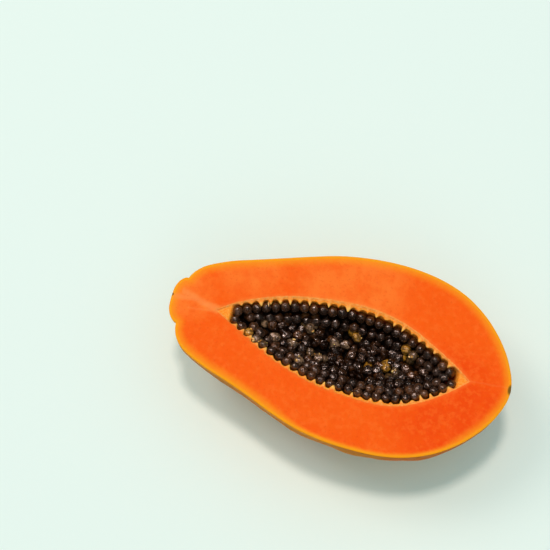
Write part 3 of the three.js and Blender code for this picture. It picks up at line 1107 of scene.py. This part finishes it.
def make_seed_coat(name, gloss, roughness, shade_from, shade_to):
    """Wet jelly over a dark wrinkled seed. Its lower part, where it stands among other seeds, is painted
    near black as shade, with less coat and more roughness, so that it shows less sheen.
    """
    material, tree, surface = new_material(name)
    tint = attribute(tree, "tint", "Color")
    paler = steps(tree, noise(tree, 1.8, 3), 0.5, 0.72, 0, 0.5)
    colour = blend(tree, paler, tint, rgb(84, 48, 26))
    shade = node(tree, "VectorMath", {0: tint, "Scale": 0.2}, operation="SCALE").outputs[0]
    dark = steps(tree, noise(tree, 1.9, 3, shift=3), 0.44, 0.58, 0, 0.9)
    colour = blend(tree, dark, colour, shade)
    # Painted shade: 1 on the top of each seed, falling to 0 on its lower part, by the seed's height
    painted_light_share = steps(tree, attribute(tree, "height"), shade_from, shade_to)
    uneven = steps(tree, noise(tree, 2.4, 2), 0.35, 0.65, roughness, roughness + 0.12)
    coarse = bump(tree, noise(tree, 1.8, 2, shift=1), 0.7)
    dress(tree, surface, {
        # Painted shade: the lower part is near black, rougher and with less coat
        "Base Color": blend(tree, painted_light_share, rgb(6, 2, 1), colour),
        "Roughness": maths(tree, "MAXIMUM", uneven, steps(tree, painted_light_share, 0, 0.6, 0.7, 0)),
        "Specular IOR Level": 0.8 * gloss,
        "Specular Tint": (1, 0.62, 0.42, 1),
        "Coat Weight": times(tree, painted_light_share, gloss),
        "Coat Roughness": roughness,
        "Coat IOR": 1.85,
        "Normal": bump(tree, noise(tree, 0.6, 2), 0.24, 0.8, coarse),
    })
    return material


def make_bed_pulp_painted_shade():
    """Wet pulp and deep seeds between the seeds, painted near black as the shade deep between them."""
    material, tree, surface = new_material("bed_pulp_painted_shade")
    dress(tree, surface, {
        # Painted shade: near black, as the gaps between the seeds are in shade
        "Base Color": blend(tree, steps(tree, noise(tree, 4, 3), 0.45, 0.7), rgb(8, 5, 4), rgb(26, 14, 9)),
        "Roughness": 0.5,
        "Specular IOR Level": 0.05,
        "Normal": bump(tree, noise(tree, 1.5, 3), 0.6),
    })
    return material


def make_scrap_pulp():
    """Translucent scraps of golden pulp."""
    material, tree, surface = new_material("scrap_pulp")
    paler = steps(tree, noise(tree, 1.6, 3), 0.4, 0.6)
    dress(tree, surface, {
        "Base Color": blend(tree, paler, rgb(206, 130, 34), rgb(236, 190, 116)),
        "Roughness": 0.3,
        "Subsurface Weight": 0.25,
        "Subsurface Scale": 1 * MM,
        "Normal": bump(tree, noise(tree, 0.6, 2), 0.1),
    })
    return material


# Stage, light and camera


def make_floor():
    """A large pale floor, with the same colour all round it."""
    bpy.ops.mesh.primitive_plane_add(size=FLOOR_SIZE)
    floor = bpy.context.object
    floor.name = "floor"
    material, tree, surface = new_material("floor_paint")
    dress(tree, surface, {"Base Color": rgb(*FLOOR_COLOUR), "Roughness": 1, "Specular IOR Level": 0})
    floor.data.materials.append(material)


def make_sky():
    """Sky that is brightest overhead. Shiny surfaces mirror little of it, and its backdrop is even."""
    world = bpy.context.scene.world or bpy.data.worlds.new("world")
    bpy.context.scene.world = world
    world.use_nodes = True
    tree = world.node_tree
    height = node(tree, "SeparateXYZ", {0: node(tree, "TexCoord", {}).outputs["Generated"]}).outputs[2]
    path = node(tree, "LightPath", {})
    mirrored = steps(tree, path.outputs["Is Glossy Ray"], 0, 1, 1, SKY_SHEEN)
    strength = times(tree, steps(tree, height, 0, 1, *SKY_STRENGTHS), mirrored)
    backdrop = times(tree, path.outputs["Is Camera Ray"], BACKDROP_STRENGTH)
    background = tree.nodes["Background"]
    background.inputs["Color"].default_value = rgb(*SKY_COLOUR)
    feed(tree, background.inputs["Strength"], maths(tree, "MAXIMUM", strength, backdrop))


def make_lamps():
    """A key lamp high above, a wide soft box on the left and a weak fill in front."""
    for name, (azimuth, elevation, distance, size, power) in LAMPS.items():
        lamp = bpy.data.lights.new(name, "AREA")
        lamp.size = size
        lamp.energy = power
        lamp.color = LAMP_COLOUR
        stand = bpy.data.objects.new(name, lamp)
        direction = toward(azimuth, elevation)
        stand.location = direction * distance
        stand.rotation_euler = direction.to_track_quat("Z", "Y").to_euler()
        bpy.context.scene.collection.objects.link(stand)


def toward(azimuth, elevation):
    """Direction from the fruit to a viewer or lamp, with azimuth 0 on the -Y side and 90 at +X."""
    turn, rise = math.radians(azimuth), math.radians(elevation)
    return Vector((math.sin(turn) * math.cos(rise), -math.cos(turn) * math.cos(rise), math.sin(rise)))


def make_camera():
    """Camera at the photograph's viewing angle."""
    lens = bpy.data.cameras.new("camera")
    lens.lens = CAMERA_LENS
    lens.sensor_width = CAMERA_SENSOR
    camera = bpy.data.objects.new("camera", lens)
    direction = toward(CAMERA_AZIMUTH, CAMERA_ELEVATION)
    target = Vector([float(c) for c in place(*CAMERA_TARGET)])
    camera.location = target + direction * CAMERA_DISTANCE
    camera.rotation_euler = direction.to_track_quat("Z", "Y").to_euler()
    bpy.context.scene.collection.objects.link(camera)
    bpy.context.scene.camera = camera


seeds = seed_places()
skin, flesh = make_skin(), make_flesh()
# Each coat paints shade on the lower part of its seeds, between shade_from and shade_to of their height
coat = make_seed_coat("seed_coat", gloss=1, roughness=0.26, shade_from=-0.75, shade_to=0.3)
inner_coat = make_seed_coat("inner_seed_coat", gloss=1, roughness=0.2, shade_from=-0.2, shade_to=0.65)
deep_coat = make_seed_coat("deep_seed_coat", gloss=0.15, roughness=0.23, shade_from=0, shade_to=0.8)
# The bed under the seeds is painted near black as shade
bed_pulp_painted_shade, scrap = make_bed_pulp_painted_shade(), make_scrap_pulp()

half = make_fruit(seeds, skin, flesh)
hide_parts("fruit_half")
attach(half, "root")

bed = make_bed(bed_pulp_painted_shade)
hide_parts("seeds")
seeds = loosen(seeds)
outer_seeds = [seed for seed in seeds if seed["row"] < OUTER_ROWS]
inner_seeds = [seed for seed in seeds if seed["row"] >= OUTER_ROWS]
outer = make_seeds("seeds_outer", outer_seeds, fineness=4, wrinkle=0.05, material=coat)
inner = make_seeds("seeds_inner", inner_seeds, fineness=4, wrinkle=0.12, material=inner_coat)
deep = make_seeds("seeds_deep", deep_places(), fineness=3, wrinkle=0.09, material=deep_coat)
for piece in (bed, outer, inner, deep):
    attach(piece, "root")

bits = make_pulp_bits(seeds, scrap)
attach(bits, "root")

make_floor()
make_sky()
make_lamps()
make_camera()
bpy.context.scene.view_settings.view_transform = "Standard"
